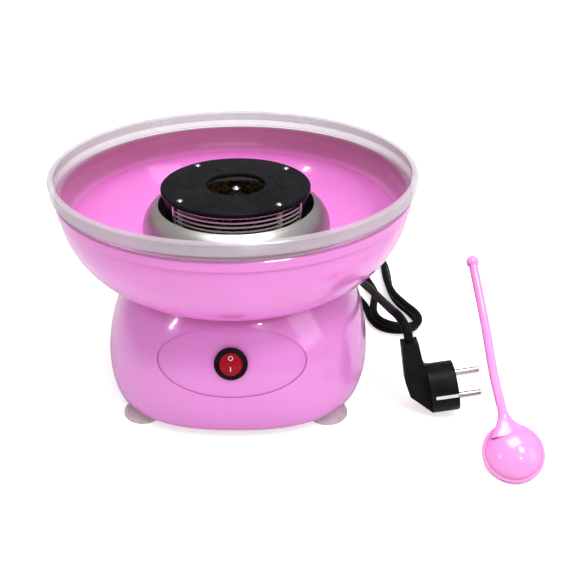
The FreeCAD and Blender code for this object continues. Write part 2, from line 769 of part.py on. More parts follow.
def spinner_band():
    """Side band with a slotted window front and back."""
    low, high = PAN_TOP + SKIN, PLATE_TOP - PLATE_THICK - SKIN
    band = tube(BAND_RADIUS, BAND_RADIUS - 1.0, low, high)
    fins = 6
    pitch = (high - low - 2.4) / fins
    for k in range(fins):
        z = low + 1.6 + pitch * k
        for middle in (WINDOW_TURN, WINDOW_TURN + 180):
            slot = sector(BAND_RADIUS - 2, BAND_RADIUS + 1, z, z + pitch - 0.9,
                          middle - WINDOW_HALF, middle + WINDOW_HALF)
            band = band.cut(slot)
    return band.removeSplitter()


def window_posts():
    """Bright bars down both ends of each window."""
    low, high = PAN_TOP + 0.6, PLATE_TOP - PLATE_THICK - 0.1
    posts = []
    for middle in (WINDOW_TURN, WINDOW_TURN + 180):
        for side in (-1, 1):
            angle = middle + side * WINDOW_HALF
            posts.append(sector(BAND_RADIUS + 0.02, BAND_RADIUS + 1.3, low, high, angle - 0.9, angle + 0.9))
    return group(posts)


def spinner_plate():
    """Black top plate with rounded edges and the sugar well's mouth."""
    low = PLATE_TOP - PLATE_THICK
    plate = tube(PLATE_RADIUS, WELL_RADIUS, low, PLATE_TOP)
    edges = [edge_at(plate, r, PLATE_TOP) for r in (PLATE_RADIUS, WELL_RADIUS)]
    return drilled(plate.makeFillet(1.2, edges), 1.65)


def spinner_spacers():
    ring = tube(2.6, 1.65, PAN_TOP + SKIN, PLATE_TOP - PLATE_THICK - SKIN)
    return group([ring.translated(Vector(x, y, 0)) for x, y in rivet_places()])


def spinner_rivets():
    shank = rod(1.6, PAN_UNDER - 0.02, PLATE_TOP + 0.02)
    head = Part.makeSphere(2.9, Vector(0, 0, PLATE_TOP - 1.8))
    head = head.common(rod(4.0, PLATE_TOP + 0.02, PLATE_TOP + 2.0))
    tail = rod(2.4, PAN_UNDER - 0.9, PAN_UNDER - 0.02)
    rivet = joined([shank, head, tail])
    return group([rivet.translated(Vector(x, y, 0)) for x, y in rivet_places()])


def sugar_ring():
    """Brass ring of slots round the sugar well."""
    ring = tube(28.0, 27.0, PAN_TOP + SKIN, 147.0)
    slot = block(26.0, 29.0, -0.8, 0.8, 134.0, 145.0)
    for cutter in round_the_axis(slot, 24):
        ring = ring.cut(cutter)
    return ring


HUB_FOOT = 123.6
HUB_TOP = 149.6


def spinner_hub():
    """Socket for the shaft, slotted below for the drive pin, with a flange on the pan."""
    hub = rod(6.8, HUB_FOOT, HUB_TOP - 3.0)
    cone = Part.makeCone(6.8, 3.6, 3.0, Vector(0, 0, HUB_TOP - 3.0))
    flange = tube(13.0, 6.7, PAN_TOP + 0.02, PAN_TOP + 2.2)
    hub = joined([hub, cone, flange])
    hub = hub.cut(rod(SHAFT_RADIUS + 0.05, HUB_FOOT - 1, SHAFT_TIP + 0.3))
    hub = hub.cut(block(-8, 8, -1.15, 1.15, HUB_FOOT - 1, DRIVE_PIN_HEIGHT + 1.15))
    for x, y in hub_screw_places():
        hub = hub.cut(rod(1.2, PAN_TOP - 1, PAN_TOP + 3, x, y))
    return hub


def hub_screw_places():
    return [polar(10.2, angle) for angle in (90, 210, 330)]


def hub_nut():
    """Bright domed nut on top of the hub."""
    prism = Part.Face(Part.makePolygon([Vector(*polar(3.1, 60 * k), 0) for k in range(7)]))
    prism = prism.extrude(Vector(0, 0, 2.6))
    prism.translate(Vector(0, 0, HUB_TOP + 0.02))
    cap = Part.makeSphere(2.7, Vector(0, 0, HUB_TOP + 1.8))
    cap = cap.common(rod(4.0, HUB_TOP + 2.4, HUB_TOP + 6))
    return joined([prism, cap])


def hub_screws():
    low = PAN_TOP + 2.2 + 0.02
    screw = rod(1.9, low, low + 1.2).fuse(rod(1.15, PAN_TOP + 0.1, low))
    return group([screw.translated(Vector(x, y, 0)) for x, y in hub_screw_places()])


# --- bowl and guard -----------------------------------------------------------------------------
def floss_bowl():
    outer = bowl_wall(0.0, BOWL_HOLE)
    inner = bowl_wall(-BOWL_WALL, BOWL_HOLE + 2.0)
    out_low, out_high = end_points(outer)
    in_low, in_high = end_points(inner)
    collar = 97.0
    rim = 127.5
    edges = [
        outer,
        line((out_high.x, 0, out_high.z), (out_high.x, 0, 152.0)),
        line((out_high.x, 0, 152.0), (rim, 0, 152.8)),
        line((rim, 0, 152.8), (rim, 0, BOWL_RIM - 0.7)),
        line((rim, 0, BOWL_RIM - 0.7), (rim - 0.7, 0, BOWL_RIM)),
        line((rim - 0.7, 0, BOWL_RIM), (rim - 2.1, 0, BOWL_RIM)),
        line((rim - 2.1, 0, BOWL_RIM), (in_high.x, 0, in_high.z)),
        inner,
        line((in_low.x, 0, in_low.z), (BOWL_HOLE + 2.0, 0, collar)),
        line((BOWL_HOLE + 2.0, 0, collar), (BOWL_HOLE, 0, collar)),
        line((BOWL_HOLE, 0, collar), (out_low.x, 0, out_low.z)),
    ]
    return turned(Part.Face(Part.Wire(Part.__sortEdges__(edges))))


def clear_guard():
    """Clear ring with an outward rolled lip; a bead on its wall rests on the bowl's rim."""
    low = 139.5
    return lathe(
        (119.6, low), (124.7, BOWL_RIM + 0.1), (126.9, BOWL_RIM + 0.1), (126.9, BOWL_RIM + 1.4),
        (125.1, BOWL_RIM + 1.4), (127.0, GUARD_TOP - 1.6), (GUARD_RADIUS - 1.6, GUARD_TOP - 1.6),
        (GUARD_RADIUS - 1.6, GUARD_TOP - 7.6), (GUARD_RADIUS, GUARD_TOP - 7.6), (GUARD_RADIUS, GUARD_TOP - 0.6),
        (GUARD_RADIUS - 0.6, GUARD_TOP), (125.9, GUARD_TOP), (118.0, low))


# --- mains lead and plug ------------------------------------------------------------------------
def at_plug(shape):
    """Local X along the pins from the plug's face, local Z up its neck."""
    placed = shape.copy()
    roll = Rotation(Vector(1, 0, 0), -PLUG_ROLL)
    tilt = Rotation(Vector(0, 1, 0), -PLUG_TILT)
    placed.Placement = Placement(PLUG_FACE, tilt.multiply(roll)).multiply(shape.Placement)
    return placed


PLUG_DISC = 18.5
PLUG_DEPTH = 20.0
NECK_X = -29.5
NECK_TOP = 40.0


def plug_outline():
    """Side view of the plug's back and neck."""
    points = [
        (-PLUG_DEPTH + 6, -15.0), (-PLUG_DEPTH, -17.0), (NECK_X - 5.0, -2.0), (NECK_X - 7.2, 10.0),
        (NECK_X - 6.2, NECK_TOP), (NECK_X + 6.2, NECK_TOP), (NECK_X + 7.6, 24.0), (-PLUG_DEPTH, 18.0),
        (-PLUG_DEPTH + 6, 15.0)]
    return [Vector(x, 0, z) for x, z in points]


def plug_body():
    disc = along_x(PLUG_DISC, -PLUG_DEPTH, 0.0)
    round_front = [e for e in disc.Edges if isinstance(e.Curve, Part.Circle) and abs(e.CenterOfMass.x) < 0.01]
    disc = disc.makeFillet(1.2, round_front)
    side = plug_outline()
    slab = Part.Face(Part.makePolygon(side + side[:1]))
    slab.translate(Vector(0, -7.0, 0))
    slab = slab.extrude(Vector(0, 14.0, 0))
    body = disc.fuse(slab)
    for side in (-1, 1):
        low, high = sorted((side * (PLUG_DISC - 1.6), side * (PLUG_DISC + 1.0)))
        body = body.cut(block(-PLUG_DEPTH + 3.0, 1.0, low, high, -1.5, 1.5))
    for z in (-PIN_SPACING / 2, PIN_SPACING / 2):
        hole = along_x(PIN_ROOT, -9.0, 1.0)
        hole.translate(Vector(0, 0, z))
        body = body.cut(hole)
    neck = Part.makeCylinder(CORD_RADIUS + SKIN, 16.0, Vector(NECK_X, 0, NECK_TOP - 14.0))
    return at_plug(body.cut(neck).removeSplitter())


def plug_pins():
    pins = []
    for z in (-PIN_SPACING / 2, PIN_SPACING / 2):
        pin = along_x(PIN_RADIUS, 0.02, PIN_LENGTH)
        tip = [e for e in pin.Edges if isinstance(e.Curve, Part.Circle) and e.CenterOfMass.x > PIN_LENGTH - 1]
        pin = pin.makeFillet(1.4, tip).fuse(along_x(PIN_ROOT - 0.01, -8.9, 0.1))
        pin.translate(Vector(0, 0, z))
        pins.append(at_plug(pin))
    return group(pins)


def earth_clips():
    clips = []
    for side in (-1, 1):
        low, high = sorted((side * (PLUG_DISC - 1.5), side * (PLUG_DISC - 0.5)))
        clips.append(at_plug(block(-PLUG_DEPTH + 3.1, -0.6, low, high, -1.3, 1.3)))
    return group(clips)


def neck_end(extra):
    """Point on the neck's axis, this far past its end."""
    return at_plug(Part.Vertex(NECK_X, 0, NECK_TOP + extra)).Point


def cord_path():
    """Middle line of the lead: out of the housing, two turns on the floor, up to the plug."""
    wall, angle = cord_exit()
    out = Vector(*polar(1.0, angle), 0)
    floor = CORD_RADIUS + 0.3
    upper = 3 * CORD_RADIUS + 0.8
    top = 5 * CORD_RADIUS + 1.4
    first = [wall - out * 16, wall + out * 6.5, wall + out * 13]
    turns = [
        Vector(97, 88, 15), Vector(107, 85, floor + 2.5), Vector(113, 72, floor), Vector(114, 56, floor),
        Vector(121, 41, floor), Vector(135, 36, floor), Vector(150, 39, floor), Vector(157, 51, floor),
        Vector(151, 68, floor), Vector(142, 84, floor), Vector(138, 108, floor), Vector(140, 140, floor),
        Vector(139, 168, floor), Vector(128, 181, floor), Vector(115, 174, floor + 1), Vector(111, 153, floor + 4),
        Vector(113, 128, upper), Vector(119, 104, upper), Vector(122, 88, upper), Vector(118, 70, upper),
        Vector(116, 53, upper), Vector(121, 40, upper), Vector(132, 33, upper), Vector(145, 31, upper),
        Vector(155, 38, upper), Vector(156, 52, upper), Vector(146, 70, upper), Vector(137, 90, upper),
        Vector(135, 120, upper), Vector(137, 150, upper), Vector(132, 173, upper), Vector(118, 180, upper + 2),
        Vector(106, 168, upper + 5), Vector(101.5, 140, upper + 8), Vector(101, 115, 23), Vector(102.5, 90, 29),
        Vector(105.6, 60, 38.5), Vector(110.7, 30, 47.5), Vector(115, 0, 56), Vector(118.7, -25, 63.5),
        Vector(121.6, -40, 68.0),
    ]
    last = [neck_end(9.5), neck_end(1.0), neck_end(-12.0)]
    return first + turns + last


def power_cord():
    return swept(cord_path(), CORD_RADIUS)


# --- scoop --------------------------------------------------------------------------------------
def sugar_scoop():
    """Domed scoop, opening away from the switch side, with a long bowed handle that ends in a knob."""
    middle = Vector(-2.2, 21.4, 0)
    dome = half_ball(SCOOP_RADIUS - SCOOP_LIP, SCOOP_DEPTH)
    hollow = half_ball(SCOOP_RADIUS - SCOOP_LIP - SCOOP_WALL, SCOOP_DEPTH - SCOOP_WALL)
    lip = rod(SCOOP_RADIUS, 0, SCOOP_LIP_HEIGHT)
    lip = lip.makeFillet(0.6, [edge_at(lip, SCOOP_RADIUS, SCOOP_LIP_HEIGHT)])
    cup = dome.fuse(lip)
    under = rod(SCOOP_RADIUS - SCOOP_LIP - SCOOP_WALL, -20.0, 0)
    for shape in (cup, hollow, under):
        shape.rotate(Vector(0, 0, 0), Vector(0, 1, 0), -SCOOP_ROLL)
        shape.rotate(Vector(0, 0, 0), Vector(1, 0, 0), -SCOOP_TIP)
        shape.translate(middle)
    path = [(-6.0, 39.5, 1.0), (-7.1, 49.8, 1.6), (-11.2, 75.9, 2.4), (-13.8, 109.7, 4.0), (-19.8, 158.8, 6.5)]
    handle = swept(path, 3.2)
    knob = Part.makeSphere(4.5, Vector(*path[-1]))
    flare = Part.makeLoft([
        neck_ring((-7.1, 49.8, 1.6), 3.3, 3.2), neck_ring((-6.5, 45.8, 1.5), 4.3, 3.3),
        neck_ring((-5.8, 42.2, 1.8), 6.4, 3.5), neck_ring((-5.0, 38.2, 2.6), 9.8, 3.9),
        neck_ring((-4.2, 33.0, 3.6), 13.0, 4.4)], True, False)
    scoop = cup.fuse(flare).fuse(handle).fuse(knob).cut(hollow).cut(under).removeSplitter()
    placed = scoop.copy()
    placed.Placement = Placement(SCOOP_FOOT, Rotation(Vector(1, 0, 0), 90.0 - SCOOP_LEAN)).multiply(scoop.Placement)
    return placed


def half_ball(radius, depth):
    """Half an ellipsoid standing on its flat face."""
    half = Part.makeSphere(radius).common(Part.makeBox(100, 100, 50, Vector(-50, -50, 0)))
    matrix = FreeCAD.Matrix()
    matrix.scale(1.0, 1.0, depth / radius)
    return half.transformGeometry(matrix)


def neck_ring(place, wide, thick):
    """An oval across the scoop's neck, wide in the handle's own plane."""
    ring = Part.Wire(Part.Ellipse(Vector(0, 0, 0), wide, thick).toShape())
    ring.rotate(Vector(0, 0, 0), Vector(1, 0, 0), 90)
    ring.rotate(Vector(0, 0, 0), Vector(0, 0, 1), NECK_TURN)
    ring.translate(Vector(*place))
    return ring


NODES = (
    base_housing, bottom_cover, cover_screws, suction_feet, strain_relief,
    switch_body, switch_rocker, switch_terminals,
    motor_can, motor_end_cap, motor_bearings, motor_magnets, motor_brushes, motor_rotor, rotor_windings,
    motor_commutator, motor_shaft, drive_pin, cooling_fan, motor_bracket, bracket_isolators, bracket_screws,
    motor_screws, control_board, rectifier_diodes, noise_capacitor, terminal_block, terminal_screws,
    thermal_fuse, inner_wires,
    heater_tray, tray_screws, heater_ring, heater_bushings, heater_supports, support_screws,
    heat_shield, shield_screws,
    spinner_pan, spinner_band, window_posts, spinner_plate, spinner_spacers, spinner_rivets, sugar_ring,
    spinner_hub, hub_nut, hub_screws,
    floss_bowl, clear_guard,
    power_cord, plug_body, plug_pins, earth_clips,
    sugar_scoop,
)


def main():
    os.makedirs("parts", exist_ok=True)
    for node in NODES:
        save(node.__name__, node())


if __name__ == "__main__":
    main()
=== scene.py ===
"""Looks for the cotton candy machine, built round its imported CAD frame. Lengths are in metres."""

import json
from math import cos, pi, radians, sin, tau

import bmesh
import bpy
from mathutils import Matrix, Vector


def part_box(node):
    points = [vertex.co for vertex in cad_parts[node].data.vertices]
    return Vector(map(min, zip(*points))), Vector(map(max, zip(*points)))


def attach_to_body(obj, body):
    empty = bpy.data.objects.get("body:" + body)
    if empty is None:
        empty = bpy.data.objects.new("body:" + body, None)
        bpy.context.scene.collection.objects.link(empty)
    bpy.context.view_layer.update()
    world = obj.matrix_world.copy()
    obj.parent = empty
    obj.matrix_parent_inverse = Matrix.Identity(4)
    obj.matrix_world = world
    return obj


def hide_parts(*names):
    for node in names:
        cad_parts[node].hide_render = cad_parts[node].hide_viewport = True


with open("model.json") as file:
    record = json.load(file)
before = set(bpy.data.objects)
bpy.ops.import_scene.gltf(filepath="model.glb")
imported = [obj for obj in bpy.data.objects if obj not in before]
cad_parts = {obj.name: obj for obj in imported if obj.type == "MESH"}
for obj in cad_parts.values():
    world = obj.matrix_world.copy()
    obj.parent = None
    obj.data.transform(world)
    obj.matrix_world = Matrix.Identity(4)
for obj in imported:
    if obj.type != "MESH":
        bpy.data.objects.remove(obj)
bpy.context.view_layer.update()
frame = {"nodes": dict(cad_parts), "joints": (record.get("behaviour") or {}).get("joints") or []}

MM = 0.001
FOOT_RADIUS = 15.8 * MM
CORD_RADIUS = 3.4 * MM
WIRE_RADIUS = 1.1 * MM
ISOLATOR_RADIUS = 6 * MM
FROST_LINE = 158 * MM          # the guard is clear below this height and frosted above it
SWITCH_LEAN = radians(18)
ROCKER_TURN = radians(10)      # half the rocker's throw, and the slope of each of its two faces
RELIEF_TURN = radians(42)      # the way the lead leaves the housing
WINDOW_MIDDLE = radians(-84.5)
WINDOW_HALF = radians(56.5)
PLUG_FACE = Vector((0.1643, -0.0629, 0.0224))
PLUG_TILT = radians(11)
PLUG_ROLL = radians(12)
PLUG_NECK = Vector((-29.5 * MM, 0, 40 * MM))
UP_AXIS = Vector((0, 0, 1))
NOISE_RANGE = (0.3, 0.7)       # most of a noise pattern's values lie between these
LIGHT_TARGET = (0.03, 0, 0.08)
CAMERA_PLACE = (0.03601, -0.47775, 0.34906)
CAMERA_PITCH = radians(30.23)
CAMERA_ROLL = radians(0.4)
LENS_LENGTH = 44.2             # in millimetres, on a sensor 36 mm wide


def joint_place(name):
    """Where a joint of the frame is at rest."""
    return Vector([joint for joint in frame["joints"] if joint["name"] == name][0]["pos_m"])


HOME = joint_place("motor_spin")
HOME.z = 0                     # foot of the spinner's axis


def span(node):
    """Lowest corner, highest corner and middle of a CAD node, measured from the spinner's axis."""
    low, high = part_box(node)
    return low - HOME, high - HOME, (low + high) / 2 - HOME


def attach(piece, body, node=None):
    """Moves a piece built round the spinner's axis into the frame and ties it to a body."""
    piece.matrix_world = Matrix.Translation(HOME) @ piece.matrix_world
    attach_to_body(piece, body)
    if node:
        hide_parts(node)


# --- mesh helpers -------------------------------------------------------------------------------
def mesh_object(name, verts, faces, smooth=True):
    """A closed mesh with its normals facing out."""
    mesh = bpy.data.meshes.new(name)
    mesh.from_pydata([tuple(v) for v in verts], [], faces)
    work = bmesh.new()
    work.from_mesh(mesh)
    bmesh.ops.remove_doubles(work, verts=work.verts, dist=1e-7)
    bmesh.ops.recalc_face_normals(work, faces=work.faces)
    work.to_mesh(mesh)
    work.free()
    for face in mesh.polygons:
        face.use_smooth = smooth
    piece = bpy.data.objects.new(name, mesh)
    bpy.context.scene.collection.objects.link(piece)
    return piece


def merge(name, pieces):
    """One object from several meshes."""
    work = bmesh.new()
    for piece in pieces:
        piece.data.transform(piece.matrix_world)
        work.from_mesh(piece.data)
    mesh = bpy.data.meshes.new(name)
    work.to_mesh(mesh)
    work.free()
    for piece in pieces:
        bpy.data.objects.remove(piece)
    whole = bpy.data.objects.new(name, mesh)
    bpy.context.scene.collection.objects.link(whole)
    return whole


def turned(name, profile, steps=64):
    """A closed outline of (radius, height) points turned round Z; radius 0 makes a pole."""
    verts = []
    for k in range(steps):
        turn = tau * k / steps
        verts += [Vector((r * cos(turn), r * sin(turn), z)) for r, z in profile]
    count = len(profile)
    faces = []
    for k in range(steps):
        a, b = k * count, (k + 1) % steps * count
        for j in range(count):
            n = (j + 1) % count
            if profile[j][0] == 0 and profile[n][0] == 0:
                continue
            faces.append((a + j, b + j, b + n, a + n))
    return mesh_object(name, verts, faces)


def rounded_path(points, steps):
    """A smooth line that touches the middle of each straight run between the points."""
    path = [points[0]]
    for k in range(1, len(points) - 1):
        start = (points[k - 1] + points[k]) / 2
        end = (points[k] + points[k + 1]) / 2
        for i in range(steps):
            t = i / steps
            path.append(start * (1 - t) ** 2 + points[k] * 2 * t * (1 - t) + end * t * t)
    path.append((points[-2] + points[-1]) / 2)
    path.append(points[-1])
    return path


def tube_along(name, path, radius, sides):
    """A round closed tube along a line."""
    across = (path[1] - path[0]).orthogonal().normalized()
    verts = []
    for k, here in enumerate(path):
        along = (path[min(k + 1, len(path) - 1)] - path[max(k - 1, 0)]).normalized()
        across = (across - along * across.dot(along)).normalized()
        other = along.cross(across)
        for i in range(sides):
            turn = tau * i / sides
            verts.append(here + (across * cos(turn) + other * sin(turn)) * radius)
    faces = []
    for k in range(len(path) - 1):
        for i in range(sides):
            n = (i + 1) % sides
            faces.append((k * sides + i, k * sides + n, (k + 1) * sides + n, (k + 1) * sides + i))
    faces.append(tuple(reversed(range(sides))))
    faces.append(tuple(range((len(path) - 1) * sides, len(path) * sides)))
    return mesh_object(name, verts, faces)


# --- material helpers ---------------------------------------------------------------------------
class Look:
    """A node material with a colour, a roughness and a bump that can each be varied by noise."""

    def __init__(self, name, colour, roughness, metallic=0.0):
        self.material = bpy.data.materials.new(name)
        self.material.use_nodes = True
        self.tree = self.material.node_tree
        self.shader = self.tree.nodes["Principled BSDF"]
        self.place = self.tree.nodes.new("ShaderNodeTexCoord").outputs["Object"]
        self.shader.inputs["Base Color"].default_value = (*colour, 1)
        self.shader.inputs["Roughness"].default_value = roughness
        self.shader.inputs["Metallic"].default_value = metallic
        self.colour = colour
        self.roughness = roughness
        self.normal = None

    def node(self, kind, **values):
        made = self.tree.nodes.new("ShaderNode" + kind)
        for key, value in values.items():
            setattr(made, key, value)
        return made

    def link(self, source, target):
        self.tree.links.new(source, target)

    def noise(self, per_metre, stretch=(1, 1, 1), detail=3.0):
        mapping = self.node("Mapping")
        mapping.inputs["Scale"].default_value = stretch
        self.link(self.place, mapping.inputs["Vector"])
        made = self.node("TexNoise")
        made.inputs["Scale"].default_value = per_metre
        made.inputs["Detail"].default_value = detail
        self.link(mapping.outputs[0], made.inputs["Vector"])
        return made.outputs["Fac"]

    def from_axis(self):
        """Place measured from the foot of the spinner's axis."""
        moved = self.node("VectorMath", operation="SUBTRACT")
        moved.inputs[1].default_value = HOME
        self.link(self.place, moved.inputs[0])
        return moved.outputs[0]

    def rings(self, per_metre, detail=2.0):
        """Noise that only changes with the distance from the Z axis and the height, as turning leaves."""
        split = self.node("SeparateXYZ")
        self.link(self.from_axis(), split.inputs[0])
        flat = self.node("CombineXYZ")
        self.link(split.outputs["X"], flat.inputs["X"])
        self.link(split.outputs["Y"], flat.inputs["Y"])
        length = self.node("VectorMath", operation="LENGTH")
        self.link(flat.outputs[0], length.inputs[0])
        joined = self.node("CombineXYZ")
        self.link(length.outputs["Value"], joined.inputs["X"])
        self.link(split.outputs["Z"], joined.inputs["Y"])
        made = self.node("TexNoise")
        made.inputs["Scale"].default_value = per_metre
        made.inputs["Detail"].default_value = detail
        self.link(joined.outputs[0], made.inputs["Vector"])
        return made.outputs["Fac"]

    def spread(self, source, low, high):
        """Noise stretched to run from low to high."""
        return self.ranged(source, NOISE_RANGE, (low, high))

    def ranged(self, source, given, wanted):
        made = self.node("MapRange")
        made.inputs["From Min"].default_value, made.inputs["From Max"].default_value = given
        made.inputs["To Min"].default_value, made.inputs["To Max"].default_value = wanted
        self.link(source, made.inputs["Value"])
        return made.outputs[0]

    def vary_colour(self, source, other):
        mix = self.node("Mix", data_type="RGBA")
        mix.inputs[6].default_value = (*self.colour, 1)
        mix.inputs[7].default_value = (*other, 1)
        self.link(self.spread(source, 0, 1), mix.inputs["Factor"])
        self.link(mix.outputs[2], self.shader.inputs["Base Color"])

    def paint_gap_shade(self, shade, reach):
        """Painted shade: deepens the colour where another surface is close by, standing in for the shadow
        in gaps and under parts.
        """
        near = self.node("AmbientOcclusion")
        near.inputs["Distance"].default_value = reach
        mix = self.node("Mix", data_type="RGBA")
        mix.inputs[6].default_value = (*shade, 1)
        self.link(self.shader.inputs["Base Color"].links[0].from_socket, mix.inputs[7])
        self.link(near.outputs["AO"], mix.inputs["Factor"])
        self.link(mix.outputs[2], self.shader.inputs["Base Color"])

    def vary_roughness(self, source, amount):
        low, high = self.roughness - amount, self.roughness + amount
        self.link(self.spread(source, low, high), self.shader.inputs["Roughness"])

    def bump(self, source, height):
        made = self.node("Bump")
        made.inputs["Strength"].default_value = 1.0
        made.inputs["Distance"].default_value = height
        self.link(source, made.inputs["Height"])
        if self.normal:
            self.link(self.normal, made.inputs["Normal"])
        self.normal = made.outputs[0]
        self.link(self.normal, self.shader.inputs["Normal"])

    def value(self, name, amount):
        self.shader.inputs[name].default_value = amount

    def see_through(self, least, most, clearer_below):
        """Lets light pass straight through, less so at grazing angles, more so below a height."""
        facing = self.node("LayerWeight")
        facing.inputs["Blend"].default_value = 0.35
        solid = self.ranged(facing.outputs["Facing"], (0, 1), (least, most))
        split = self.node("SeparateXYZ")
        self.link(self.place, split.inputs[0])
        heights = (clearer_below, clearer_below + 3 * MM)
        above = self.ranged(split.outputs["Z"], heights, (0.3, 1.35))
        share = self.node("Math", operation="MULTIPLY")
        self.link(solid, share.inputs[0])
        self.link(above, share.inputs[1])
        clear = self.node("BsdfTransparent")
        mixed = self.node("MixShader")
        self.link(share.outputs[0], mixed.inputs[0])
        self.link(clear.outputs[0], mixed.inputs[1])
        self.link(self.shader.outputs[0], mixed.inputs[2])
        self.link(mixed.outputs[0], self.tree.nodes["Material Output"].inputs["Surface"])


def paint(look, *nodes):
    """Gives CAD nodes a material."""
    for name in nodes:
        slots = frame["nodes"][name].data.materials
        slots.clear()
        slots.append(look.material)


# --- materials ----------------------------------------------------------------------------------
def pink_gloss(name, colour, shade):
    look = Look(name, colour, 0.2)
    look.vary_colour(look.noise(14), shade)
    # painted shade: the colour turns dark magenta where another part lies within 13 mm, standing in for the
    # contact shadow between bowl and housing
    look.paint_gap_shade((0.45, 0.02, 0.22), 13 * MM)
    look.vary_roughness(look.noise(60), 0.06)
    look.bump(look.noise(220, detail=1.0), 0.00002)
    look.bump(look.noise(3500), 0.000004)
    look.value("Coat Weight", 0.6)
    look.value("Coat Roughness", 0.06)
    look.value("Subsurface Weight", 0.12)
    look.value("Subsurface Radius", (0.004, 0.002, 0.003))
    look.value("Subsurface Scale", 1.0)
    return look


def satin_plastic(name, colour, roughness=0.42, grain=1800):
    look = Look(name, colour, roughness)
    look.vary_colour(look.noise(90), tuple(min(1.0, c * 1.5 + 0.004) for c in colour))
    look.vary_roughness(look.noise(240), 0.1)
    look.bump(look.noise(grain), 0.00003)
    look.value("Specular IOR Level", 0.06)
    return look


def worn_metal(name, colour, roughness, dark, grain=900):
    look = Look(name, colour, roughness, 1.0)
    look.vary_colour(look.noise(70), dark)
    look.vary_roughness(look.noise(300, stretch=(1, 1, 6)), 0.09)
    look.bump(look.noise(grain, stretch=(1, 1, 5)), 0.00002)
    return look


def spun_aluminium():
    look = Look("spun_aluminium", (0.56, 0.55, 0.53), 0.36, 0.92)
    look.vary_colour(look.noise(35), (0.46, 0.45, 0.43))
    look.vary_roughness(look.rings(900), 0.08)
    look.bump(look.rings(1600), 0.00003)
    return look


def black_enamel():
    look = Look("black_enamel", (0.004, 0.004, 0.005), 0.3)
    look.vary_colour(look.noise(60), (0.009, 0.009, 0.01))
    look.vary_roughness(look.noise(180), 0.09)
    look.bump(look.noise(2600), 0.00001)
    look.value("Specular IOR Level", 0.04)
    return look


def slotted_band():
    """Black enamel that turns to bare metal on the fins of the two windows."""
    look = black_enamel()
    look.material.name = "slotted_band"
    base = look.shader.inputs["Base Color"].links[0].from_socket
    flat = look.node("VectorMath", operation="MULTIPLY")
    flat.inputs[1].default_value = (1, 1, 0)
    look.link(look.from_axis(), flat.inputs[0])
    unit = look.node("VectorMath", operation="NORMALIZE")
    look.link(flat.outputs[0], unit.inputs[0])
    dot = look.node("VectorMath", operation="DOT_PRODUCT")
    dot.inputs[1].default_value = (cos(WINDOW_MIDDLE), sin(WINDOW_MIDDLE), 0)
    look.link(unit.outputs[0], dot.inputs[0])
    size = look.node("Math", operation="ABSOLUTE")
    look.link(dot.outputs["Value"], size.inputs[0])
    inside = look.node("Math", operation="GREATER_THAN")
    inside.inputs[1].default_value = cos(WINDOW_HALF)
    look.link(size.outputs[0], inside.inputs[0])
    mix = look.node("Mix", data_type="RGBA")
    look.link(inside.outputs[0], mix.inputs["Factor"])
    look.link(base, mix.inputs[6])
    mix.inputs[7].default_value = (0.62, 0.58, 0.55, 1)
    look.link(mix.outputs[2], look.shader.inputs["Base Color"])
    dull = look.node("Math", operation="MULTIPLY")
    dull.inputs[1].default_value = 0.4
    look.link(inside.outputs[0], dull.inputs[0])
    look.link(dull.outputs[0], look.shader.inputs["Metallic"])
    return look


def frosted_clear():
    look = Look("frosted_clear", (0.66, 0.59, 0.64), 0.16)
    look.vary_colour(look.noise(25), (0.6, 0.53, 0.59))
    look.vary_roughness(look.rings(700), 0.06)
    look.bump(look.rings(350), 0.00004)
    look.value("Coat Weight", 0.4)
    look.see_through(0.26, 0.6, FROST_LINE)
    return look


def clear_rubber():
    look = Look("clear_rubber", (0.85, 0.52, 0.62), 0.28)
    look.vary_colour(look.noise(120), (0.6, 0.3, 0.42))
    look.vary_roughness(look.noise(300), 0.1)
    look.bump(look.noise(500), 0.00006)
    look.value("Subsurface Weight", 0.3)
    look.see_through(0.37, 0.65, -10 * MM)
    return look


def red_key():
    look = Look("red_key", (0.42, 0.002, 0.02), 0.2)
    look.vary_colour(look.noise(260), (0.3, 0.0, 0.012))
    look.vary_roughness(look.noise(500), 0.08)
    look.bump(look.noise(1500), 0.00001)
    look.value("Subsurface Weight", 0.25)
    look.value("Subsurface Radius", (0.004, 0.0004, 0.0006))
    look.value("Subsurface Scale", 1.0)
    look.value("Specular IOR Level", 0.25)
    return look


def heat_brass():
    look = Look("heat_brass", (0.62, 0.42, 0.12), 0.26, 1.0)
    look.vary_colour(look.noise(130), (0.36, 0.2, 0.07))
    look.vary_roughness(look.noise(400), 0.1)
    look.bump(look.rings(1500), 0.00003)
    return look


def copper_wire():
    look = Look("copper_wire", (0.68, 0.25, 0.1), 0.3, 1.0)
    look.vary_colour(look.noise(180), (0.45, 0.14, 0.06))
    look.vary_roughness(look.noise(500), 0.1)
    look.bump(look.rings(2500), 0.0002)
    return look


def cord_rubber():
    look = Look("cord_rubber", (0.004, 0.004, 0.004), 0.4)
    look.vary_colour(look.noise(80), (0.007, 0.007, 0.008))
    look.vary_roughness(look.noise(260), 0.1)
    look.bump(look.noise(1400), 0.00004)
    look.value("Specular IOR Level", 0.06)
    return look


def floor_paper():
    look = Look("floor_paper", (0.8, 0.8, 0.8), 0.8)
    look.vary_colour(look.noise(3), (0.78, 0.78, 0.78))
    look.bump(look.noise(900), 0.00002)
    look.value("Emission Color", (1, 1, 1, 1))
    seen = look.node("LightPath")
    lift = look.node("Math", operation="MULTIPLY")
    lift.inputs[1].default_value = 0.6
    look.link(seen.outputs["Is Camera Ray"], lift.inputs[0])
    look.link(lift.outputs[0], look.shader.inputs["Emission Strength"])
    return look


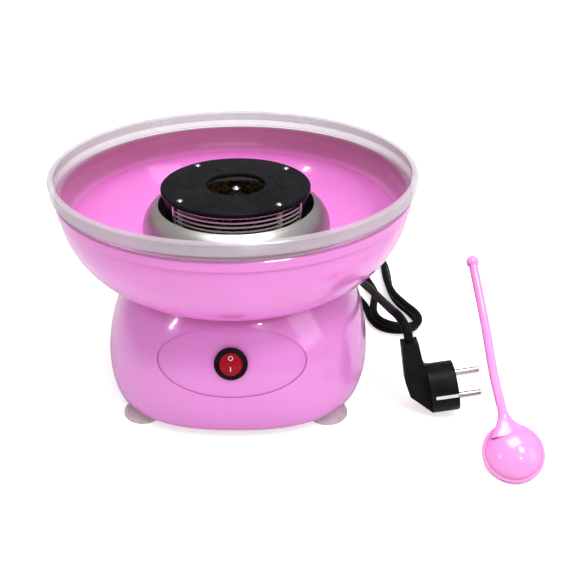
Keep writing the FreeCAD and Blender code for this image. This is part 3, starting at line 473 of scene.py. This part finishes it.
def dress_frame():
    """Every CAD node gets its finish."""
    housing = pink_gloss("pink_housing", (0.86, 0.29, 0.76), (0.84, 0.27, 0.73))
    paint(housing, "base_housing", "bottom_cover")
    paint(pink_gloss("pink_bowl", (0.88, 0.26, 0.74), (0.86, 0.24, 0.71)), "floss_bowl")
    paint(pink_gloss("pink_scoop", (0.92, 0.33, 0.72), (0.9, 0.3, 0.68)), "sugar_scoop")
    paint(frosted_clear(), "clear_guard")
    paint(spun_aluminium(), "heat_shield")
    paint(black_enamel(), "spinner_pan", "spinner_plate", "spinner_hub")
    paint(slotted_band(), "spinner_band")
    paint(heat_brass(), "sugar_ring")
    paint(red_key(), "switch_rocker")
    paint(copper_wire(), "rotor_windings", "motor_commutator")
    bright = worn_metal("bright_steel", (0.8, 0.8, 0.8), 0.16, (0.66, 0.66, 0.67))
    paint(bright, "motor_shaft", "drive_pin", "spinner_rivets", "hub_nut", "plug_pins", "earth_clips")
    steel = worn_metal("zinc_steel", (0.58, 0.58, 0.58), 0.34, (0.42, 0.42, 0.43))
    paint(steel, "cover_screws", "motor_bracket", "bracket_screws", "motor_screws", "terminal_screws",
          "heater_tray", "tray_screws", "support_screws", "shield_screws", "spinner_spacers", "hub_screws")
    paint(worn_metal("window_bars", (0.88, 0.85, 0.83), 0.3, (0.78, 0.75, 0.73)), "window_posts")
    paint(worn_metal("motor_steel", (0.3, 0.31, 0.33), 0.4, (0.2, 0.2, 0.22)), "motor_can", "motor_rotor")
    paint(worn_metal("hot_steel", (0.34, 0.28, 0.26), 0.45, (0.2, 0.13, 0.16)), "heater_ring")
    paint(worn_metal("bearing_bronze", (0.5, 0.36, 0.18), 0.4, (0.36, 0.25, 0.12)), "motor_bearings",
          "switch_terminals")
    paint(worn_metal("fuse_case", (0.7, 0.7, 0.7), 0.3, (0.5, 0.5, 0.5)), "thermal_fuse")
    black = satin_plastic("black_plastic", (0.004, 0.004, 0.005), 0.34)
    paint(black, "switch_body", "motor_end_cap", "plug_body", "strain_relief")
    paint(satin_plastic("magnet", (0.05, 0.05, 0.055), 0.7), "motor_magnets")
    paint(satin_plastic("carbon", (0.03, 0.03, 0.03), 0.6), "motor_brushes")
    paint(satin_plastic("fan_plastic", (0.62, 0.61, 0.57)), "cooling_fan")
    paint(satin_plastic("isolator_rubber", (0.03, 0.03, 0.03), 0.7), "bracket_isolators")
    paint(satin_plastic("circuit_board", (0.02, 0.16, 0.06), 0.4), "control_board")
    paint(satin_plastic("component_case", (0.03, 0.05, 0.16), 0.4), "rectifier_diodes", "noise_capacitor")
    paint(satin_plastic("block_plastic", (0.7, 0.68, 0.62), 0.5), "terminal_block")
    paint(satin_plastic("ceramic", (0.75, 0.71, 0.63), 0.6, 900), "heater_bushings", "heater_supports")
    paint(satin_plastic("wire_sleeve", (0.4, 0.07, 0.04), 0.45), "inner_wires")
    paint(cord_rubber(), "power_cord")
    paint(clear_rubber(), "suction_feet")


# --- soft pieces --------------------------------------------------------------------------------
def soft_feet():
    """Four clear suction cups, each with a rolled lip, a waist and a button inside the cover."""
    _, high, _ = span("suction_feet")
    bed = span("bottom_cover")[0].z
    rim = FOOT_RADIUS
    cup = [(rim * share, height * MM) for share, height in (
        (0, 3.2), (0.3, 2.9), (0.6, 1.9), (0.82, 0.7), (0.88, 0.1), (0.95, 0.0), (0.992, 0.3), (1, 0.9),
        (0.97, 1.4), (0.82, 2.1), (0.64, 3.4), (0.48, 5.2), (0.4, 6.9))]
    stem = [(rim * 0.36, bed - 0.2 * MM)]
    stem += [(radius * MM, bed + height * MM) for radius, height in (
        (3.9, -0.15), (3.85, 0.5), (3.85, 2.4), (3.95, 2.75), (5.2, 2.8), (4.6, 3.9))]
    profile = cup + stem + [(3.3 * MM, high.z), (0, high.z)]
    at = high.x - rim
    feet = []
    for sx in (-1, 1):
        for sy in (-1, 1):
            foot = turned("foot", profile, 56)
            foot.matrix_world = Matrix.Translation((sx * at, sy * at, 0))
            bpy.context.view_layer.update()
            feet.append(foot)
    whole = merge("soft_feet", feet)
    whole.data.materials.append(clear_rubber().material)
    attach(whole, "base", "suction_feet")


def plug_matrix():
    """Local X along the pins from the plug's face, local Z up its neck."""
    turn = Matrix.Rotation(-PLUG_TILT, 4, "Y") @ Matrix.Rotation(-PLUG_ROLL, 4, "X")
    return Matrix.Translation(PLUG_FACE) @ turn


def neck_end(extra):
    """A point on the middle line of the plug's neck, this far past its end."""
    return plug_matrix() @ (PLUG_NECK + UP_AXIS * extra)


def cord_exit():
    """The middle of the strain relief and the way it points."""
    _, _, middle = span("strain_relief")
    return middle, Vector((cos(RELIEF_TURN), sin(RELIEF_TURN), 0))


def cord_points():
    """Waypoints: out of the housing, two turns on the floor, then up to the plug's neck."""
    start, out = cord_exit()
    first_turn, second_turn = 3.7, 11
    down = [(97, 88, 15), (107, 85, 6.2)]
    round_once = [
        (113, 72), (114, 56), (121, 41), (135, 36), (150, 39), (157, 51),
        (151, 68), (142, 84), (138, 108), (140, 140), (139, 168), (128, 181)]
    climb = [(115, 174, 4.7), (111, 153, 7.7)]
    round_again = [
        (113, 128), (119, 104), (122, 88), (118, 70), (116, 53), (121, 40), (132, 33), (145, 31),
        (155, 38), (156, 52), (146, 70), (137, 90), (135, 120), (137, 150), (132, 173)]
    rise = [
        (118, 180, 13), (106, 168, 16), (101.5, 140, 19), (101, 115, 23), (102.5, 90, 29),
        (105.6, 60, 38.5), (110.7, 30, 47.5), (115, 0, 56), (118.7, -25, 63.5), (121.6, -40, 68)]
    places = down + [(x, y, first_turn) for x, y in round_once]
    places += climb + [(x, y, second_turn) for x, y in round_again] + rise
    turns = [Vector(place) * MM for place in places]
    first = [start - out * 14 * MM, start + out * 8.5 * MM, start + out * 15 * MM]
    last = [neck_end(9.5 * MM), neck_end(1 * MM), neck_end(-12 * MM)]
    return first + turns + last


def mains_lead():
    """The round rubber lead."""
    path = rounded_path(cord_points(), 8)
    lead = tube_along("mains_lead", path, CORD_RADIUS, 24)
    lead.data.materials.append(cord_rubber().material)
    attach(lead, "base", "power_cord")


def relief_grommet():
    """Grooved rubber grommet round the lead where it leaves the housing."""
    start, out = cord_exit()
    bore = CORD_RADIUS / MM + 0.05
    groove, rib, waist, flange = 4.9, 5.5, 5.3, 7.6
    outline = [(bore, -8), (bore, 8), (groove, 8), (5.4, 7.6)]
    for k in range(3):
        high = 7.2 - 0.95 * k
        outline += [(rib, high), (rib, high - 0.45), (groove, high - 0.5), (groove, high - 0.8)]
    outline += [(7.1, 4.65), (flange, 4.2), (flange, 3.3), (7.2, 2.9), (waist, 2.9), (waist, -2.2)]
    outline += [(7.4, -2.2), (flange, -2.6), (flange, -4.2), (7.3, -4.6), (rib, -4.6), (5.4, -8)]
    profile = [(radius * MM, height * MM) for radius, height in outline]
    grommet = turned("relief_grommet", profile, 40)
    grommet.matrix_world = Matrix.Translation(start) @ UP_AXIS.rotation_difference(out).to_matrix().to_4x4()
    grommet.data.materials.append(cord_rubber().material)
    attach(grommet, "base", "strain_relief")


def loose_wires():
    """Sleeved wires from the terminal block to the switch, board, motor and heater."""
    runs = [
        [(42.4, 10, 15.6), (36, -20, 14.5), (20, -50, 20), (6, -68, 40), (2, -69.5, 53.5)],
        [(43, 20, 15.6), (34, 34, 14.5), (0, 44, 14), (-30, 34, 14.5), (-38, 26, 21), (-44, 18.5, 20)],
        [(-50, 18.5, 22), (-48, 30, 30), (-36, 34, 44), (-30, 20, 46)],
        [(61, 24, 15.6), (70, 34, 24), (66, 34, 60), (52, 22, 76), (43, 6.5, 79)]]
    wires = []
    for run in runs:
        path = rounded_path([Vector(place) * MM for place in run], 10)
        wires.append(tube_along("wire", path, WIRE_RADIUS, 14))
    whole = merge("loose_wires", wires)
    whole.data.materials.append(satin_plastic("wire_sleeve", (0.4, 0.07, 0.04), 0.45).material)
    attach(whole, "base", "inner_wires")


def rubber_isolators():
    """Four waisted rubber rings between the motor bracket and the housing's bosses."""
    low, high, _ = span("bracket_isolators")
    height = high.z - low.z
    bore = 2.25 * MM
    profile = [(bore, low.z), (bore, high.z)]
    for share, radius in ((1.0, 5.4), (0.93, 5.9), (0.75, 5.95), (0.6, 5.2),
                          (0.4, 5.2), (0.25, 5.95), (0.07, 5.9), (0.0, 5.4)):
        profile.append((radius * MM, low.z + height * share))
    at = high.x - ISOLATOR_RADIUS
    rings = []
    for sx in (-1, 1):
        for sy in (-1, 1):
            ring = turned("ring", profile, 40)
            ring.matrix_world = Matrix.Translation((sx * at, sy * at, 0))
            bpy.context.view_layer.update()
            rings.append(ring)
    whole = merge("rubber_isolators", rings)
    whole.data.materials.append(satin_plastic("isolator_rubber", (0.03, 0.03, 0.03), 0.7).material)
    attach(whole, "base", "bracket_isolators")


# --- marks on the switch ------------------------------------------------------------------------
def rocker_matrix(side):
    """A face of the rocker: local Z out of the face, local Y up it; side 1 is the upper face."""
    ridge = 3.9 * MM
    lean = Matrix.Rotation(pi / 2 - SWITCH_LEAN, 4, "X")
    key = Matrix.Rotation(-ROCKER_TURN, 4, "X")
    face = Matrix.Translation((0, 0, ridge)) @ Matrix.Rotation(-side * ROCKER_TURN, 4, "X")
    return Matrix.Translation(joint_place("rocker_tip") - HOME) @ lean @ key @ face


def white_paint():
    look = Look("white_paint", (0.9, 0.88, 0.88), 0.4)
    look.vary_colour(look.noise(900), (0.8, 0.76, 0.76))
    look.vary_roughness(look.noise(1200), 0.1)
    look.bump(look.noise(4000), 0.00001)
    return look


def switch_marks():
    """A raised O on the upper face and a raised I on the lower one."""
    low, high = -0.15 * MM, 0.06 * MM
    inner, outer = 1.15 * MM, 1.65 * MM
    circle = turned("circle", [(inner, low), (outer, low), (outer, high), (inner, high)], 36)
    circle.matrix_world = rocker_matrix(1) @ Matrix.Translation((0, 4.3 * MM, 0))
    stroke = rounded_bar("stroke", 0.3 * MM, 1.7 * MM, low, high)
    stroke.matrix_world = rocker_matrix(-1) @ Matrix.Translation((0, -3.2 * MM, 0))
    bpy.context.view_layer.update()
    whole = merge("switch_marks", [circle, stroke])
    whole.data.materials.append(white_paint().material)
    attach(whole, "rocker")


def rounded_bar(name, half_width, half_length, low, high):
    """An upright bar with rounded corners, in the local X-Y plane."""
    corner = half_width * 0.6
    outline = []
    for sx, sy, first in ((1, 1, 0), (-1, 1, 1), (-1, -1, 2), (1, -1, 3)):
        for k in range(4):
            turn = pi / 2 * (first + k / 3)
            outline.append((sx * (half_width - corner) + corner * cos(turn),
                            sy * (half_length - corner) + corner * sin(turn)))
    count = len(outline)
    verts = [Vector((x, y, low)) for x, y in outline] + [Vector((x, y, high)) for x, y in outline]
    faces = [tuple(reversed(range(count))), tuple(range(count, 2 * count))]
    for k in range(count):
        n = (k + 1) % count
        faces.append((k, n, n + count, k + count))
    return mesh_object(name, verts, faces, smooth=False)


# --- stage --------------------------------------------------------------------------------------
def stage_floor():
    """A pale sheet that curves up behind the object."""
    near, far, bend, side, top = -3.0, 3.0, 2.0, 5.0, 7.0
    steps, below = 12, 0.3 * MM
    turns = [pi / 2 * k / steps for k in range(1, steps + 1)]
    line = [(near, 0.0), (far, 0.0)]
    line += [(far + bend * sin(turn), bend - bend * cos(turn)) for turn in turns]
    line.append((far + bend, top))
    verts = [Vector((x, y, z - below)) for y, z in line for x in (-side, side)]
    faces = [(2 * k, 2 * k + 1, 2 * k + 3, 2 * k + 2) for k in range(len(line) - 1)]
    floor = mesh_object("floor", verts, faces)
    floor.data.materials.append(floor_paper().material)


def softbox(name, place, width, height, power):
    """A lamp with a flat face that points at the object."""
    light = bpy.data.lights.new(name, "AREA")
    light.shape = "RECTANGLE"
    light.size = width
    light.size_y = height
    light.energy = power
    lamp = bpy.data.objects.new(name, light)
    lamp.location = HOME + Vector(place)
    lamp.rotation_euler = (Vector(LIGHT_TARGET) - Vector(place)).to_track_quat("-Z", "Y").to_euler()
    bpy.context.scene.collection.objects.link(lamp)


def studio_light():
    """Five soft lamps and an even white sky."""
    softbox("key", (0.5, -0.7, 1.5), 0.3, 0.3, power=8)
    softbox("glint", (0.35, -1.1, 1.0), 0.06, 0.09, power=1.4)
    softbox("side_glint", (-1.0, -0.7, 0.7), 0.06, 0.2, power=1.2)
    softbox("fill", (1.3, -0.7, 0.8), 0.7, 0.9, power=4)
    softbox("top", (0.05, -0.05, 1.7), 1.0, 0.8, power=20)
    world = bpy.data.worlds.new("studio")
    world.use_nodes = True
    sky = world.node_tree.nodes["Background"]
    sky.inputs["Color"].default_value = (1, 1, 1, 1)
    sky.inputs["Strength"].default_value = 0.42
    bpy.context.scene.world = world


def camera():
    """Looks down at the machine from the front, a little right of its middle."""
    ahead = Vector((0, cos(CAMERA_PITCH), -sin(CAMERA_PITCH)))
    level_right = Vector((1, 0, 0))
    level_up = Vector((0, sin(CAMERA_PITCH), cos(CAMERA_PITCH)))
    right = level_right * cos(CAMERA_ROLL) + level_up * sin(CAMERA_ROLL)
    above = level_up * cos(CAMERA_ROLL) - level_right * sin(CAMERA_ROLL)
    turn = Matrix((right, above, -ahead)).transposed().to_4x4()
    data = bpy.data.cameras.new("camera")
    data.sensor_fit = "HORIZONTAL"
    data.sensor_width = 36
    data.lens = LENS_LENGTH
    data.clip_start = 0.01
    lens = bpy.data.objects.new("camera", data)
    lens.matrix_world = Matrix.Translation(HOME + Vector(CAMERA_PLACE)) @ turn
    bpy.context.scene.collection.objects.link(lens)
    bpy.context.scene.camera = lens


dress_frame()
soft_feet()
mains_lead()
relief_grommet()
loose_wires()
rubber_isolators()
switch_marks()
stage_floor()
studio_light()
camera()
bpy.context.scene.view_settings.view_transform = "Standard"
